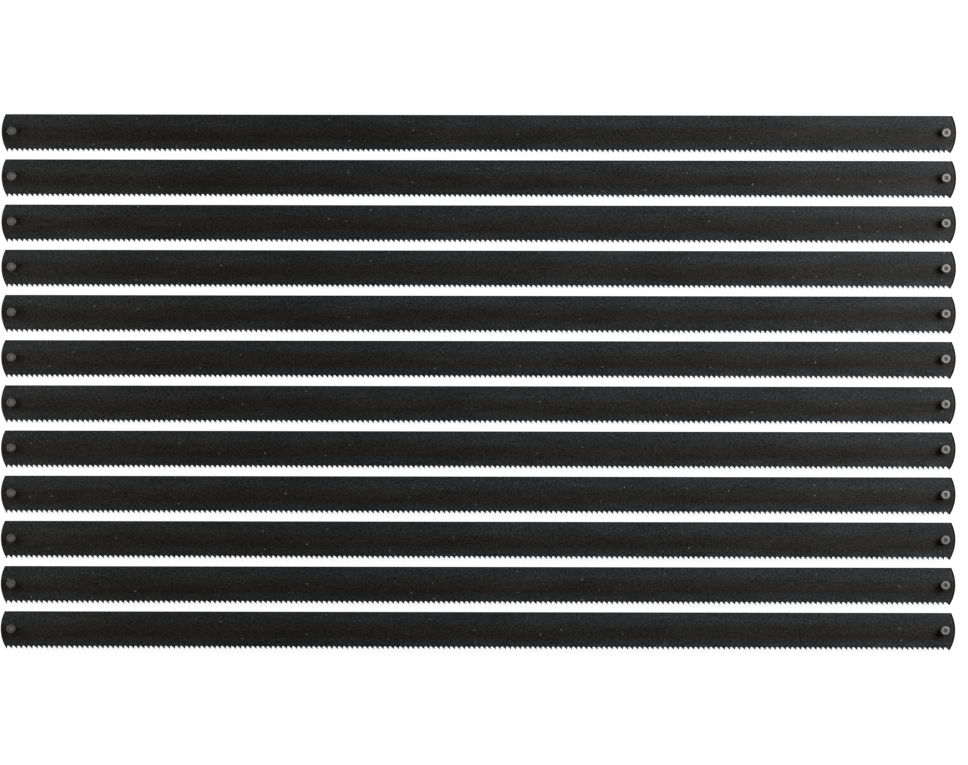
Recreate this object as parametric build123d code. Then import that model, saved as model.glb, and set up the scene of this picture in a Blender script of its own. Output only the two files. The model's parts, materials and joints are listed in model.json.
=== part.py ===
from build123d import *

import math
import os

# A set of pin-end junior hacksaw blades, lying side by side on their pins.
#
# Each blade is a hardened steel strip with fine teeth along one edge, rounded ends, and a short steel pin
# pressed through a hole near each end. The pins stand out of both faces, and a junior hacksaw's slotted
# frame hooks over them.
#
# Frame: X runs along the blades, with the teeth raked towards +X. Y runs across them, from the tooth tips
# to the back edges. Z is up. The origin is at the middle of the set's footprint, on the surface it lies on.
# Millimetres.

# The set
blade_count = 12
blade_gap = 1.25  # from one blade's tooth tips to the next blade's back edge

# The strip
blade_length = 150.0  # over the rounded ends
blade_width = 5.85  # from the back edge to the tooth tips
strip_thickness = 0.6
end_radius = 6.0  # each end is one arc, centred on the pin line
pin_from_back = 2.7  # from the back edge to the line that both pins stand on

# The teeth: a square cutting face, a rounded gullet, and a straight back that falls to the next tip
tooth_pitch = 0.8
tooth_depth = 0.45
gullet_radius = 0.19

# The pins
pin_diameter = 1.4
pin_inset = 1.7  # from the blade's end to the pin's axis
pin_stand = 1.5  # how far a pin stands out of each face of the strip
pin_rim = 0.2  # rounding of the rim of each pin end
pin_bite = 0.02  # how far the punched hole bites into the pin's radius
dish_radius = 0.35  # the shallow dish that cropping leaves in each pin end
dish_depth = 0.05

# Worked out from the sizes above
blade_spacing = blade_width + blade_gap
back_edge = blade_width / 2
tooth_tips = -blade_width / 2
pin_line = back_edge - pin_from_back
pin_radius = pin_diameter / 2
hole_radius = pin_radius - pin_bite
pin_length = 2 * pin_stand + strip_thickness
pin_reach = blade_length / 2 - pin_inset


def end_reach(y):
    """How far the rounded end reaches along X at the height y across the blade."""
    centre = blade_length / 2 - end_radius
    return centre + math.sqrt(end_radius**2 - (y - pin_line) ** 2)


def gullet(tip_x):
    """Edges from one tooth tip to the next: cutting face, gullet arc and the next tooth's back."""
    tip = Vector(tip_x, tooth_tips)
    next_tip = Vector(tip_x + tooth_pitch, tooth_tips)
    centre = tip + Vector(gullet_radius, tooth_depth - gullet_radius)

    def on_arc(angle):
        return centre + Vector(math.cos(angle), math.sin(angle)) * gullet_radius

    # The back is the line through the next tip that touches the gullet's arc.
    to_next = next_tip - centre
    back_touch = math.atan2(to_next.Y, to_next.X) + math.acos(gullet_radius / to_next.length)
    face_touch = math.pi
    return [
        Line(tip, on_arc(face_touch)),
        ThreePointArc(
            on_arc(face_touch), on_arc((face_touch + back_touch) / 2), on_arc(back_touch)
        ),
        Line(on_arc(back_touch), next_tip),
    ]


def tooth_row():
    """Edges of the toothed side, from one rounded end to the other, with the same short land at each end."""
    corner = end_reach(tooth_tips)
    count = math.floor(2 * corner / tooth_pitch)
    first_tip = -count * tooth_pitch / 2
    edges = [Line((-corner, tooth_tips), (first_tip, tooth_tips))]
    for i in range(count):
        edges += gullet(first_tip + i * tooth_pitch)
    edges.append(Line((-first_tip, tooth_tips), (corner, tooth_tips)))
    return edges


def make_strip():
    """One toothed strip with its two pin holes, centred on X and Y, at the height the pins hold it."""
    back = end_reach(back_edge)
    corner = end_reach(tooth_tips)
    tip_of_end = blade_length / 2
    edges = tooth_row() + [
        ThreePointArc((corner, tooth_tips), (tip_of_end, pin_line), (back, back_edge)),
        Line((back, back_edge), (-back, back_edge)),
        ThreePointArc((-back, back_edge), (-tip_of_end, pin_line), (-corner, tooth_tips)),
    ]
    strip = extrude(Face(Wire(edges)), strip_thickness)
    drill = Cylinder(hole_radius, 3 * strip_thickness)
    for side in (-1, 1):
        strip -= Pos(side * pin_reach, pin_line) * drill
    return Pos(0, 0, pin_stand) * strip


def make_pin():
    """One pin on the Z axis, standing on z = 0, squeezed to the hole's size where it passes the strip."""
    pin = Cylinder(pin_radius, pin_length, align=(Align.CENTER, Align.CENTER, Align.MIN))
    pin = fillet(pin.edges().filter_by(GeomType.CIRCLE), pin_rim)
    squeeze = Cylinder(2 * pin_radius, strip_thickness) - Cylinder(hole_radius, strip_thickness)
    pin -= Pos(0, 0, pin_length / 2) * squeeze
    ball_radius = (dish_radius**2 + dish_depth**2) / (2 * dish_depth)
    for side in (-1, 1):
        ball_centre = pin_length / 2 + side * (pin_length / 2 - dish_depth + ball_radius)
        pin -= Pos(0, 0, ball_centre) * Sphere(ball_radius)
    return pin


def build_set():
    """Every piece of the set by its node name, blade 01 furthest along +Y."""
    strip = make_strip()
    pin = make_pin()
    pieces = {}
    for i in range(blade_count):
        blade = f"blade_{i + 1:02d}"
        y = ((blade_count - 1) / 2 - i) * blade_spacing
        pieces[f"{blade}_strip"] = Pos(0, y) * strip
        pieces[f"{blade}_left_pin"] = Pos(-pin_reach, y + pin_line) * pin
        pieces[f"{blade}_right_pin"] = Pos(pin_reach, y + pin_line) * pin
    return pieces


os.makedirs("parts", exist_ok=True)
for node, piece in build_set().items():
    export_step(piece, f"parts/{node}.step")
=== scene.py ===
import json
import math

import bpy
import numpy as np
from mathutils import Matrix, Vector

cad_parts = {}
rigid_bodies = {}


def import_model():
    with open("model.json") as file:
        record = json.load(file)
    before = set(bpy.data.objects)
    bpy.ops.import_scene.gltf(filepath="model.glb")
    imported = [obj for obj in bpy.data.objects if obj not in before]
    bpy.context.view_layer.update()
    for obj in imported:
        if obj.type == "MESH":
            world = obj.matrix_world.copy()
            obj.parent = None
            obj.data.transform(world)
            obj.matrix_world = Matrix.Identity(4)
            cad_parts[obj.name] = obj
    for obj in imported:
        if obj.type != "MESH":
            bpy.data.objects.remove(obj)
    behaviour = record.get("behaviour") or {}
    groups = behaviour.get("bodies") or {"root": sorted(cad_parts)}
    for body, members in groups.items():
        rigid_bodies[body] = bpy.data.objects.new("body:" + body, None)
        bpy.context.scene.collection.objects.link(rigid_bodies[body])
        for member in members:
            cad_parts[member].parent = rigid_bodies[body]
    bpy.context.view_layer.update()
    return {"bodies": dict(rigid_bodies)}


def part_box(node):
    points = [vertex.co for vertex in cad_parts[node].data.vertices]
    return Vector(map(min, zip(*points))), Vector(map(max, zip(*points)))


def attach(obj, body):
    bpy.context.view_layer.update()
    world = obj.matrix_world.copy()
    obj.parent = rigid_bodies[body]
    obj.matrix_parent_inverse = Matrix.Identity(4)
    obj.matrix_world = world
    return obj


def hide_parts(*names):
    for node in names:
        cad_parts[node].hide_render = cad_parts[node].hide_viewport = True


# A set of loose junior hacksaw blades, lying side by side on their cross pins. Each blade is a blackened
# steel strip with two pins pressed through it. X runs along the blades, the teeth point to -Y, Z is up.
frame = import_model()


# ---- The saw strips ----
# Each strip is hardened carbon steel, rolled thin, sheared to length with rounded ends and blackened all
# over. The teeth are milled into one edge, raked one way, and then pressed to one side and the other in a
# long wave, so that the cut comes out wider than the strip.

mm = 0.001
strip_low, strip_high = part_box("blade_01_strip")
strip_length = strip_high.x - strip_low.x
strip_width = strip_high.y - strip_low.y
half_thick = (strip_high.z - strip_low.z) / 2
strip_middle = (strip_high.z + strip_low.z) / 2
pin_low, pin_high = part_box("blade_01_right_pin")
pin_radius = (pin_high.x - pin_low.x) / 2
pin_reach = (pin_high.x + pin_low.x) / 2
pin_line = (pin_high.y + pin_low.y) / 2 - strip_low.y  # above the tooth tips

tooth_pitch = 0.8 * mm
tooth_depth = 0.45 * mm
gullet_radius = 0.19 * mm
gullet_steps = 4
tooth_bevel = 0.015 * mm
edge_round = 0.05 * mm
end_radius = 6 * mm
hole_radius = pin_radius - 0.02 * mm  # the pin is pressed in
root_line = 0.6 * mm  # just clear of the gullets, where the toothed band meets the plain plate
set_line = 1.5 * mm  # the wave starts this far above the tips
set_bend = 0.12 * mm  # and carries the tips this far to each side
teeth_in_wave = 7
wave_shift = 0.618  # of a wave, from each blade to the next
teeth_past_seam = 6  # between each end and the seam where the plate meets the end with its hole
end_points = 20  # round each end's arc
spare_points = 7  # along the back, between a corner and the seam
crisp_angle = 50  # sharper edges of a strip aren't smoothed over


def end_reach(height):
    """How far the rounded end reaches along X, at a height above the tips: an arc about the pin line."""
    centre = strip_length / 2 - end_radius
    return centre + np.sqrt(end_radius**2 - (height - pin_line) ** 2)


def toothed_edge():
    """The toothed edge from the left corner to the right one: x, height, and x on the root line above it.

    A tooth is a cutting face straight up from its tip, an arc over the gullet, and a straight back that falls
    to the next tip along the arc's tangent. Each point's line up to the root line leans left by a quarter of
    how far the point lies below the gullet's floor, so that the lines of a cutting face fan out.
    """
    face_top = tooth_depth - gullet_radius
    along, down = tooth_pitch - gullet_radius, -face_top
    back_touch = math.atan2(down, along) + math.acos(gullet_radius / math.hypot(along, down))
    turn = np.linspace(math.pi, back_touch, gullet_steps + 1)
    one_x = np.concatenate([[0], gullet_radius + gullet_radius * np.cos(turn)])
    one_height = np.concatenate([[0], face_top + gullet_radius * np.sin(turn)])
    corner = end_reach(0)
    count = math.floor(2 * corner / tooth_pitch)
    tips = (np.arange(count) - count / 2) * tooth_pitch
    last_tip = count / 2 * tooth_pitch
    x = np.concatenate([[-corner], (tips[:, None] + one_x).ravel(), [last_tip, corner]])
    height = np.concatenate([[0], np.tile(one_height, count), [0, 0]])
    return x, height, x - (tooth_depth - height) / 4


def grid(x, height, z, bare=0.0):
    """Stacks equal arrays, or numbers, into one grid of points: x, height, z and how bare the steel is."""
    return np.stack(np.broadcast_arrays(x, height, z, bare), -1)


def weld(grids):
    """Joins grids of points into one shell: every cell is a face, and points in the same place become one.

    Seen from outside, a row's points run from left to right and the rows run upwards, or both the other way.
    """
    same_place = 1e-5 * mm
    points = np.concatenate([g.reshape(-1, g.shape[-1]) for g in grids])
    cells = []
    start = 0
    for g in grids:
        rows, columns = g.shape[:2]
        index = start + np.arange(rows * columns).reshape(rows, columns)
        corners = [index[:-1, :-1], index[:-1, 1:], index[1:, 1:], index[1:, :-1]]
        cells.append(np.stack(corners, -1).reshape(-1, 4))
        start += rows * columns
    places = np.round(points[:, :3] / same_place).astype(np.int64)
    _, first, joined = np.unique(places, axis=0, return_index=True, return_inverse=True)
    return points[first], joined.ravel()[np.concatenate(cells)]


def strip_shell():
    """One flat strip: points as x, height above the tips, z about its middle and bareness, and its faces.

    The outline is followed once round: teeth, right end, back, left end. A ribbon with a rounded profile is
    carried along it. Each face of the strip is a toothed band between the ribbon and the root line, a plate
    from the root line to the back, and at each end a web of straight lines from its border to the pin hole.
    """
    foot_x, foot_height, root_x = toothed_edge()

    # A tooth has its tip and its gullet's points, and both seams run up from a tip.
    low_seam = 1 + teeth_past_seam * (gullet_steps + 2)
    high_seam = len(foot_x) - 1 - low_seam

    # The right end is the arc from the root line up to the back corner, in equal turns.
    low_turn = math.asin((root_line - pin_line) / end_radius)
    high_turn = math.asin((strip_width - pin_line) / end_radius)
    side_height = pin_line + end_radius * np.sin(np.linspace(low_turn, high_turn, end_points))
    side_x = end_reach(side_height)

    # The back runs from the right corner to the left one, with the plate's own columns between the seams.
    past_right = np.linspace(side_x[-1], root_x[high_seam], spare_points + 2)[1:-1]
    past_left = np.linspace(root_x[low_seam], -side_x[-1], spare_points + 2)[1:-1]
    back_x = np.concatenate([past_right, root_x[low_seam : high_seam + 1][::-1], past_left])

    x = np.concatenate([foot_x, side_x, back_x, -side_x[::-1]])
    back_height = np.full(len(back_x), strip_width)
    height = np.concatenate([foot_height, side_height, back_height, side_height[::-1]])
    rounding = np.where(np.arange(len(x)) < len(foot_x), tooth_bevel, edge_round)

    # Outward at each point: the two neighbouring edges' outward directions, mitred.
    step_x, step_height = np.roll(x, -1) - x, np.roll(height, -1) - height
    length = np.hypot(step_x, step_height)
    after_x, after_height = step_height / length, -step_x / length
    before_x, before_height = np.roll(after_x, 1), np.roll(after_height, 1)
    mitre = 1 + after_x * before_x + after_height * before_height
    out_x, out_height = (after_x + before_x) / mitre, (after_height + before_height) / mitre

    # The ribbon's profile, from the lower face to the upper one: two quarter circles, each in two steps.
    turn = np.radians([0, 45, 90, 90, 45, 0])[:, None]
    side = np.array([-1, -1, -1, 1, 1, 1])[:, None]
    ring = np.append(np.arange(len(x)), 0)
    ribbon_x = (x - out_x * rounding * (1 - np.sin(turn)))[:, ring]
    ribbon_height = (height - out_height * rounding * (1 - np.sin(turn)))[:, ring]
    ribbon_z = (side * (half_thick - rounding * (1 - np.cos(turn))))[:, ring]
    ribbon = grid(ribbon_x, ribbon_height, ribbon_z, np.sin(turn))

    # The ribbon's rim, cut into the stretches that the faces of the strip meet.
    rim_x, rim_height = ribbon_x[0, :-1], ribbon_height[0, :-1]
    feet = len(foot_x)
    right_rim = slice(feet, feet + len(side_x))
    back_rim = slice(right_rim.stop, right_rim.stop + len(back_x))
    left_rim = slice(back_rim.stop, None)

    # The toothed band: a row along the teeth and a row along the root line.
    root_x = root_x.copy()
    root_height = np.full(feet, root_line)
    root_x[0], root_height[0] = rim_x[left_rim][-1], rim_height[left_rim][-1]
    root_x[-1], root_height[-1] = rim_x[right_rim][0], rim_height[right_rim][0]
    band = np.stack([rim_x[:feet], root_x]), np.stack([rim_height[:feet], root_height])

    # The plate between the seams: rows from the root line up through the wave to the back.
    rows = np.append(np.linspace(root_line, set_line, 4), strip_width - edge_round)
    plate = root_x[low_seam : high_seam + 1], rows[:, None]

    def web(border_x, border_height, hole_x):
        """Straight lines from a closed border in to the pin hole's circle, in rows a share of the way."""
        share = np.array([1, 0.84, 0.68, 0.52, 0.36, 0.2, 0.06, 0])[:, None]
        away = np.hypot(border_x - hole_x, border_height - pin_line)
        mouth_x = hole_x + (border_x - hole_x) / away * hole_radius
        mouth_height = pin_line + (border_height - pin_line) / away * hole_radius
        return mouth_x + (border_x - mouth_x) * share, mouth_height + (border_height - mouth_height) * share

    # Each web's border goes once round its end: along the root line, and up or down its seam.
    past = slice(0, spare_points + 1)
    seam_x = np.full(len(rows) - 1, root_x[high_seam])
    border_x = [root_x[high_seam:], rim_x[right_rim][1:], rim_x[back_rim][past], seam_x]
    border_height = [root_height[high_seam:], rim_height[right_rim][1:], rim_height[back_rim][past]]
    border_height.append(rows[-2::-1])
    right_web = web(np.concatenate(border_x), np.concatenate(border_height), pin_reach)

    past = slice(-spare_points, None)
    seam_x = np.full(len(rows) - 1, root_x[low_seam])
    border_x = [root_x[: low_seam + 1], seam_x, rim_x[back_rim][past], rim_x[left_rim]]
    border_height = [root_height[: low_seam + 1], rows[1:], rim_height[back_rim][past], rim_height[left_rim]]
    left_web = web(np.concatenate(border_x), np.concatenate(border_height), -pin_reach)

    patches = [ribbon]
    for flat in (band, plate, right_web, left_web):
        patches.append(grid(*flat, half_thick))
        patches.append(grid(*flat, -half_thick)[::-1])
    wall_z = np.array([half_thick, -half_thick])[:, None]
    for web_x, web_height in (right_web, left_web):
        patches.append(grid(web_x[-1], web_height[-1], wall_z))
    return weld(patches)


def make_piece(name, points, faces, place, finish, sharp_angle):
    """A mesh object from points and faces, with each point's place on its own part as an attribute in mm.

    Edges sharper than the angle stay crisp. Elsewhere the normals lean to the larger faces, so that a flat
    face stays flat up to its rounding. They are settled while the mesh is still in millimetres, because the
    areas of such small faces in square metres are too near nothing to be weighed.
    """
    draft = bpy.data.meshes.new(name)
    draft.from_pydata(points / mm, [], faces)
    draft.polygons.foreach_set("use_smooth", np.ones(len(draft.polygons), bool))
    draft.set_sharp_from_angle(angle=math.radians(sharp_angle))
    draft.attributes.new("place", "FLOAT_VECTOR", "POINT").data.foreach_set("vector", (place / mm).ravel())
    draft.materials.append(finish)
    piece = bpy.data.objects.new(name, draft)
    bpy.context.scene.collection.objects.link(piece)
    lean = piece.modifiers.new("flat_faces", "WEIGHTED_NORMAL")
    lean.keep_sharp = True
    settled = piece.evaluated_get(bpy.context.evaluated_depsgraph_get())
    mesh = bpy.data.meshes.new_from_object(settled)
    mesh.transform(Matrix.Scale(mm, 4))
    piece.modifiers.clear()
    piece.data = mesh
    bpy.data.meshes.remove(draft)
    mesh.name = name
    return piece


class Finish:
    """A node material in the making. add() puts in one node, sets its own settings and feeds its inputs."""

    def __init__(self, name):
        self.material = bpy.data.materials.new(name)
        self.material.use_nodes = True
        self.tree = self.material.node_tree
        self.shader = self.tree.nodes["Principled BSDF"]

    def feed(self, node, feeds):
        """Joins a socket to each named input, or sets the input to a number or colour."""
        for name, value in feeds.items():
            if isinstance(value, bpy.types.NodeSocket):
                self.tree.links.new(value, node.inputs[name])
            else:
                node.inputs[name].default_value = value

    def add(self, kind, feeds, **settings):
        node = self.tree.nodes.new("ShaderNode" + kind)
        for name, value in settings.items():
            setattr(node, name, value)
        self.feed(node, feeds)
        return node.outputs

    def sum(self, operation, *values):
        """One step of arithmetic on numbers or sockets."""
        return self.add("Math", dict(enumerate(values)), operation=operation)[0]

    def between(self, value, zero_at, one_at):
        """0 at and past one value, 1 at and past the other, and a smooth step between them."""
        feeds = {"Value": value, "From Min": zero_at, "From Max": one_at}
        return self.add("MapRange", feeds, interpolation_type="SMOOTHSTEP")["Result"]

    def noise(self, where, size_mm, detail=2.0, stretch=(1, 1, 1)):
        """Cloudy noise from 0 to 1 with blotches of about one size, longer along an axis by its stretch."""
        squeeze = tuple(1 / (size_mm * s) for s in stretch)
        spot = self.add("Mapping", {"Vector": where, "Scale": squeeze}, vector_type="POINT")["Vector"]
        return self.add("TexNoise", {"Vector": spot, "Scale": 1.0, "Detail": detail})

    def vary(self, colour, noise, amount):
        """A colour made lighter and darker by a noise, by up to half the amount each way, but never black."""
        least_gain = 0.1
        feeds = {0: noise, 1: (amount,) * 3, 2: (1 - amount / 2,) * 3}
        gain = self.add("VectorMath", feeds, operation="MULTIPLY_ADD")["Vector"]
        kept = self.add("VectorMath", {0: gain, 1: (least_gain,) * 3}, operation="MAXIMUM")["Vector"]
        return self.tint(colour, kept)

    def mix(self, share, first, second, blend="MIX"):
        """Two colours mixed by a share of the second. The node keeps its colours at sockets 6 and 7."""
        feeds = {0: share, 6: first, 7: second}
        return self.add("Mix", feeds, data_type="RGBA", blend_type=blend)[2]

    def tint(self, colour, by, share=1.0):
        """A colour times another one, as far as the share says."""
        return self.mix(share, colour, by, "MULTIPLY")

    def ramp(self, value, stops):
        """A colour read off along a line of (place, grey-scale or red, green and blue) stops."""
        node = self.tree.nodes.new("ShaderNodeValToRGB")
        node.color_ramp.interpolation = "EASE"
        while len(node.color_ramp.elements) < len(stops):
            node.color_ramp.elements.new(0.5)
        for element, (place, colour) in zip(node.color_ramp.elements, stops):
            element.position = place
            element.color = (*colour, 1)
        self.tree.links.new(value, node.inputs["Fac"])
        return node.outputs["Color"]


def blackened_steel():
    """Oil-blackened rolled steel: bluish near both edges and brown along the lower middle."""
    black = Finish("blackened_strip_steel")
    body = black.add("TexCoord", {})["Object"]
    body_mm = black.add("VectorMath", {0: body, "Scale": 1 / mm}, operation="SCALE")[0]
    place = black.add("Attribute", {}, attribute_name="place")["Vector"]
    x, height, _ = black.add("SeparateXYZ", {"Vector": place})

    # How far a point is in from the back edge and from the nearer rounded end, in millimetres.
    end_centre = (strip_length / 2 - end_radius) / mm
    past_centre = black.sum("MAXIMUM", black.sum("SUBTRACT", black.sum("ABSOLUTE", x), end_centre), 0)
    off_line = black.sum("SUBTRACT", height, pin_line / mm)
    spread = black.add("CombineXYZ", {0: past_centre, 1: off_line})[0]
    from_centre = black.add("VectorMath", {0: spread}, operation="LENGTH")["Value"]
    from_end = black.sum("SUBTRACT", end_radius / mm, from_centre)
    from_back = black.sum("SUBTRACT", strip_width / mm, height)

    # Lighter and bluish towards both edges, darker and brown along the lower middle, with a wavering border.
    waver = black.noise(body_mm, 5.0, 3.0, (5, 1, 1))["Fac"]
    drift = black.sum("MULTIPLY", black.sum("SUBTRACT", waver, 0.5), 0.26)
    across = black.sum("ADD", black.sum("DIVIDE", height, strip_width / mm), drift)
    colour = black.ramp(
        across,
        [
            (0.00, (0.0118, 0.0152, 0.0170)),
            (0.16, (0.0106, 0.0124, 0.0132)),
            (0.36, (0.0086, 0.0078, 0.0066)),
            (0.55, (0.0100, 0.0094, 0.0083)),
            (0.80, (0.0123, 0.0144, 0.0151)),
            (1.00, (0.0131, 0.0157, 0.0166)),
        ],
    )

    # Long clouds, a fine speckled grain, small patches of rust and blue, and rolling lines.
    cloud = black.noise(body_mm, 2.0, 3.0, (6, 1, 1))["Fac"]
    speckle = black.noise(body_mm, 0.34, 2.0)["Fac"]
    grain = black.noise(body_mm, 0.16, 1.0)["Fac"]
    rusty = black.between(black.noise(body_mm, 0.7, 3.0, (1.5, 1, 1))["Fac"], 0.3, 0.7)
    rolled = black.noise(body_mm, 0.16, 2.0, (60, 1, 1))["Fac"]
    colour = black.vary(colour, cloud, 0.7)
    colour = black.vary(colour, speckle, 2.7)
    colour = black.vary(colour, grain, 2.2)
    rust, blue = (1.12, 1.0, 0.93, 1), (0.88, 1.0, 1.07, 1)
    colour = black.tint(colour, black.mix(rusty, blue, rust))

    # Browner towards the left end, and darker from there to the middle.
    browner, darker_left_middle = (1.06, 1.0, 0.93, 1), (0.85, 0.83, 0.83, 1)
    left_half = black.sum("MULTIPLY", black.between(x, -70, -46), black.between(x, 2, -24))
    colour = black.tint(colour, browner, black.between(x, -15, -60))
    colour = black.tint(colour, darker_left_middle, left_half)

    # Painted shade along the back edge: a dark band over its rounded corner and just inside it.
    painted_back_shade = (0.35, 0.35, 0.35, 1)
    colour = black.tint(colour, painted_back_shade, black.between(from_back, 0.2, 0.05))

    # Handling wears the crests of the teeth and the sharp edges to a dull grey, in patches.
    bare_steel = (0.22, 0.22, 0.21, 1)
    bare = black.add("Attribute", {}, attribute_name="bare")["Fac"]
    patchy = black.between(black.noise(body_mm, 0.5, 3.0)["Fac"], 0.52, 0.75)
    worn = black.sum("MULTIPLY", black.sum("MULTIPLY", bare, patchy), 0.12)
    colour = black.mix(worn, colour, bare_steel)

    # Painted shade as a broad dark rim round the right end, with a thin warm painted highlight just inside
    # it.
    painted_end_highlight, painted_end_shade = (1.7, 1.4, 1.3, 1), (0.1, 0.1, 0.1, 1)
    right_end = black.between(x, 0, 10)
    end_highlight = black.sum("SUBTRACT", black.between(from_end, 0.3, 0.4), black.between(from_end, 0.42, 0.6))
    end_highlight = black.sum("MULTIPLY", end_highlight, right_end)
    colour = black.tint(colour, painted_end_highlight, end_highlight)
    end_shade = black.sum("MULTIPLY", black.between(from_end, 0.32, 0.22), right_end)
    colour = black.tint(colour, painted_end_shade, end_shade)

    # A few ragged specks of pale dust: points in a sparse net, most of them too small to see.
    pale_dust = (0.30, 0.31, 0.31, 1)
    most_across = 0.045  # of the net's mesh
    ragged = black.noise(body_mm, 0.09, 2.0)["Color"]
    astray = black.add("VectorMath", {0: ragged, 1: (0.3, 0.3, 0), 2: body_mm}, operation="MULTIPLY_ADD")[0]
    net = black.add("TexVoronoi", {"Vector": astray, "Scale": 0.3}, voronoi_dimensions="2D")
    chance = black.add("SeparateColor", {"Color": net["Color"]})["Red"]
    size = black.sum("MULTIPLY", black.between(chance, 0.4, 1.0), most_across)
    inside = black.between(black.sum("SUBTRACT", size, net["Distance"]), 0.001, 0.02)
    colour = black.mix(black.sum("MULTIPLY", inside, 0.24), colour, pale_dust)

    # The clouds and the rolling lines show in the gloss too, and the relief is the grain and the lines.
    matt = black.sum("ADD", black.sum("MULTIPLY", cloud, 0.22), black.sum("MULTIPLY", rolled, 0.14))
    # The painted shade round the right end is made rougher too.
    matt = black.sum("ADD", matt, black.sum("MULTIPLY", end_shade, 0.4))
    relief = black.sum("ADD", black.sum("MULTIPLY", grain, 0.7), rolled)
    skin = black.add("Bump", {"Height": relief, "Strength": 0.5, "Distance": 0.008 * mm})["Normal"]
    black.feed(
        black.shader,
        {
            "Base Color": colour,
            "Roughness": black.sum("ADD", matt, 0.22),
            "Normal": skin,
            "Specular IOR Level": 0.14,
        },
    )
    return black.material


black_steel = blackened_steel()
shell, shell_faces = strip_shell()
shell_faces = shell_faces.tolist()
blades = sorted(frame["bodies"])
x, height, z, bare = shell.T
depth = np.clip((set_line - height) / set_line, 0, 1)
for number, blade in enumerate(blades):
    low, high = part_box(f"{blade}_strip")
    wave = np.cos(2 * math.pi * (x / (teeth_in_wave * tooth_pitch) + number * wave_shift))
    points = np.stack([x, low.y + height, strip_middle + z + set_bend * depth**2 * wave], -1)
    name = f"saw_strip_{number + 1:02d}"
    piece = make_piece(name, points, shell_faces, shell[:, :3], black_steel, crisp_angle)
    piece.data.attributes.new("bare", "FLOAT", "POINT").data.foreach_set("value", bare)
    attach(piece, blade)
    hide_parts(f"{blade}_strip")


# ---- The cross pins ----
# Each blade is hung by two short pins cropped from hard steel wire and pressed through the strip. Cropping
# leaves a shallow dish in each end, the rim is tumbled round, and the press swells the wire where it meets
# the strip.

pin_half = (pin_high.z - pin_low.z) / 2
rim_round = 0.12 * mm
dish_radius = 0.36 * mm
dish_depth = 0.02 * mm
swell = 0.03 * mm
most_lean = 0.02 * mm  # of a cropped end, out of square
pin_sides = 64
pin_crisp_angle = 60


def pin_shell(lean, bearing):
    """One pin about its own axis: a profile of radius and height turned once round, and its faces.

    From the middle of the top: a shallow bowl, a flat, a quarter circle over the rim, the wall down to a
    small swell at the strip, then the neck to the pin's middle, and the same mirrored below. The ends are
    cropped slightly out of square, so each drops to one bearing in step with the distance across it.
    """
    bowl = np.linspace(0.1, 1, 7)
    over = np.linspace(0, math.pi / 2, 7)
    down_wall = np.array([0.15, 0.08, 0.03, 0]) * mm
    radius = np.concatenate(
        [
            dish_radius * bowl,
            pin_radius - rim_round + rim_round * np.sin(over),
            pin_radius + swell * np.array([0, 0.35, 1, 1]),
            [hole_radius],
        ]
    )
    height = np.concatenate(
        [
            pin_half - dish_depth * (1 - bowl**2),
            pin_half - rim_round + rim_round * np.cos(over),
            half_thick + down_wall,
            [half_thick],
        ]
    )
    radius = np.concatenate([radius, radius[::-1]])[:, None]
    height = np.concatenate([height, -height[::-1]])[:, None]
    turn = np.arange(pin_sides) * 2 * math.pi / pin_sides
    at_end = np.clip((np.abs(height) - pin_half + rim_round) / rim_round, 0, 1) * np.sign(height)
    drop = at_end * lean * (1 + radius / pin_radius * np.cos(turn - bearing))
    points = np.stack([radius * np.cos(turn), radius * np.sin(turn), height - drop], -1)
    index = np.arange(radius.size * pin_sides).reshape(-1, pin_sides)
    ahead = np.roll(index, -1, axis=1)
    walls = np.stack([index[:-1], index[1:], ahead[1:], ahead[:-1]], -1).reshape(-1, 4)
    return points.reshape(-1, 3), walls.tolist() + [index[0].tolist(), index[-1, ::-1].tolist()]


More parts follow.
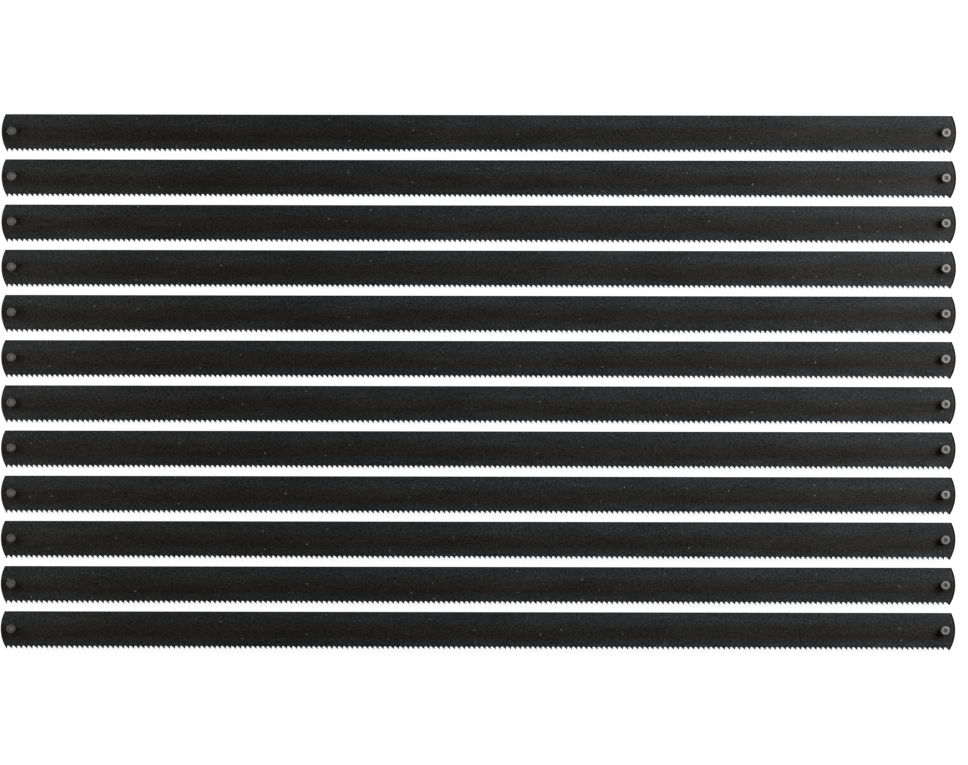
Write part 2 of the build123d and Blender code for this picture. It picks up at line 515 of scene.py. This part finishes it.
def cropped_steel(name, dish, ring):
    """Cropped wire: a smeared dish and a ring round it, toned partly as painted light, and a drawn wall
    darker towards its foot.
    """
    steel = Finish(name)
    body = steel.add("TexCoord", {})["Object"]
    body_mm = steel.add("VectorMath", {0: body, "Scale": 1 / mm}, operation="SCALE")[0]
    place = steel.add("Attribute", {}, attribute_name="place")["Vector"]
    x, y, z = steel.add("SeparateXYZ", {"Vector": place})
    flat_place = steel.add("CombineXYZ", {0: x, 1: y})[0]
    from_axis = steel.add("VectorMath", {0: flat_place}, operation="LENGTH")["Value"]

    # The tones go by how far a point is from the pin's axis, in millimetres, with ragged borders. They are
    # the steel's own tone with painted light on top: a painted highlight on a bright ring, painted shade in a
    # dark dish.
    dark_rim = (0.045, 0.045, 0.045)
    smear = steel.noise(body_mm, 0.22, 3.0)["Fac"]
    ragged = steel.sum("ADD", from_axis, steel.sum("MULTIPLY", steel.sum("SUBTRACT", smear, 0.5), 0.22))
    tone = steel.ramp(ragged, [(0.26, dish), (0.42, ring), (0.62, ring), (0.74, dark_rim)])
    mottle = steel.noise(body_mm, 0.12, 2.0)["Fac"]
    tone = steel.tint(tone, steel.ramp(mottle, [(0.3, (0.7,) * 3), (0.7, (1.25,) * 3)]))

    # The wall is plain drawn wire, darker towards its foot.
    foot_dark_wire, drawn_wire = (0.04, 0.04, 0.04, 1), (0.13, 0.13, 0.128, 1)
    up_wall = steel.sum("ABSOLUTE", z)
    rim_foot = (pin_half - rim_round) / mm
    wall = steel.between(up_wall, rim_foot, rim_foot - rim_round / mm)
    ragged_rise = steel.sum("ADD", up_wall, steel.sum("MULTIPLY", smear, 0.5))
    wire = steel.mix(steel.between(ragged_rise, 0.7, 1.7), foot_dark_wire, drawn_wire)
    tone = steel.mix(wall, tone, wire)

    ring_marks = steel.noise(steel.add("CombineXYZ", {0: from_axis, 1: z})[0], 0.05, 2.0)["Fac"]
    relief = steel.sum("ADD", steel.sum("MULTIPLY", mottle, 0.8), ring_marks)
    skin = steel.add("Bump", {"Height": relief, "Strength": 0.6, "Distance": 0.01 * mm})["Normal"]
    steel.feed(
        steel.shader,
        {
            "Base Color": tone,
            "Roughness": steel.sum("ADD", steel.sum("MULTIPLY", smear, 0.3), 0.42),
            "Normal": skin,
            "Metallic": 1.0,
        },
    )
    return steel.material


# Both finishes are the same steel, toned apart as painted light: the right pins get a painted highlight on
# the ring and painted shade in the dish, the left pins a darker ring.
pin_finishes = {
    "left": cropped_steel("cropped_wire_painted_shade", (0.126, 0.122, 0.110), (0.088, 0.086, 0.080)),
    "right": cropped_steel("cropped_wire_painted_highlight", (0.050, 0.050, 0.050), (0.160, 0.150, 0.146)),
}

# Each pin is turned its own way, and its ends lean by an amount that goes with the turn.
pin_turn = 2.4  # in radians, from one blade's pin to the next blade's
left_turn = 1.3  # from a right pin to the left one of the same blade
for number, blade in enumerate(blades):
    for side, bearing in (("left", number * pin_turn + left_turn), ("right", number * pin_turn)):
        low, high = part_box(f"{blade}_{side}_pin")
        lean = (1 + math.sin(7 * bearing)) / 2 * most_lean
        own_place, faces = pin_shell(lean, bearing)
        points = own_place + (np.array(low) + np.array(high)) / 2
        name = f"{side}_cross_pin_{number + 1:02d}"
        piece = make_piece(name, points, faces, own_place, pin_finishes[side], pin_crisp_angle)
        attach(piece, blade)
        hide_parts(f"{blade}_{side}_pin")


# ---- The table ----
# A plain white board that the blades lie on, lit well enough to look clean white from every side. It isn't
# part of the set.

table_radius = 4  # far enough to reach past the edges of every view
board = Finish("white_board")
board.feed(
    board.shader,
    {
        "Base Color": (0.12, 0.12, 0.12, 1),
        "Roughness": 0.8,
        "Specular IOR Level": 0.1,
        "Emission Color": (1, 1, 1, 1),
        "Emission Strength": 0.93,
    },
)
bpy.ops.mesh.primitive_circle_add(vertices=96, radius=table_radius, fill_type="NGON")
table = bpy.context.object
table.name = "table"
table.data.materials.append(board.material)


# ---- The light ----
# Two soft lamps stand close beyond the ends of the blades, the right one stronger, under a pale room that is
# darker overhead.


def lamp(name, place, aim, side, power):
    """A soft square lamp that faces a point and isn't seen itself."""
    light = bpy.data.lights.new(name, "AREA")
    light.size = side
    light.energy = power
    holder = bpy.data.objects.new(name, light)
    holder.location = place
    holder.rotation_euler = (Vector(aim) - Vector(place)).to_track_quat("-Z", "Y").to_euler()
    holder.visible_camera = False
    bpy.context.scene.collection.objects.link(holder)


lamp("right_lamp", place=(0.19, 0.05, 0.15), aim=(0.04, 0, 0), side=0.11, power=0.93)
lamp("left_lamp", place=(-0.15, 0.012, 0.085), aim=(-0.07, 0, 0), side=0.08, power=0.13)

# How high a direction points, from 0 level to 1 straight up, and the room's grey there.
room_greys = ((0.1, 0.9), (0.75, 0.12))
room = bpy.data.worlds.new("room")
room.use_nodes = True
sky = room.node_tree.nodes.new("ShaderNodeTexCoord")
upward = room.node_tree.nodes.new("ShaderNodeSeparateXYZ")
fade = room.node_tree.nodes.new("ShaderNodeValToRGB")
for element, (upness, grey) in zip(fade.color_ramp.elements, room_greys):
    element.position = upness
    element.color = (grey, grey, grey, 1)
backdrop = room.node_tree.nodes["Background"]
room.node_tree.links.new(sky.outputs["Generated"], upward.inputs[0])
room.node_tree.links.new(upward.outputs["Z"], fade.inputs["Fac"])
room.node_tree.links.new(fade.outputs["Color"], backdrop.inputs["Color"])
backdrop.inputs["Strength"].default_value = 1.0
bpy.context.scene.world = room


# ---- The camera ----
# It looks straight down on the set through a long lens, from slightly right of the middle, and is rolled by
# a hair.

camera_height = 0.9
view_width = 0.15206  # how much of the set's length fills the picture from side to side
camera_roll = 0.11  # degrees
film_width = 36  # millimetres
lens = bpy.data.cameras.new("camera")
lens.sensor_width = film_width
lens.lens = film_width * (camera_height - strip_middle - half_thick) / view_width
camera = bpy.data.objects.new("camera", lens)
camera.location = (0.87 * mm, -0.05 * mm, camera_height)
camera.rotation_euler.z = math.radians(camera_roll)
bpy.context.scene.collection.objects.link(camera)
bpy.context.scene.camera = camera
bpy.context.scene.view_settings.view_transform = "Standard"
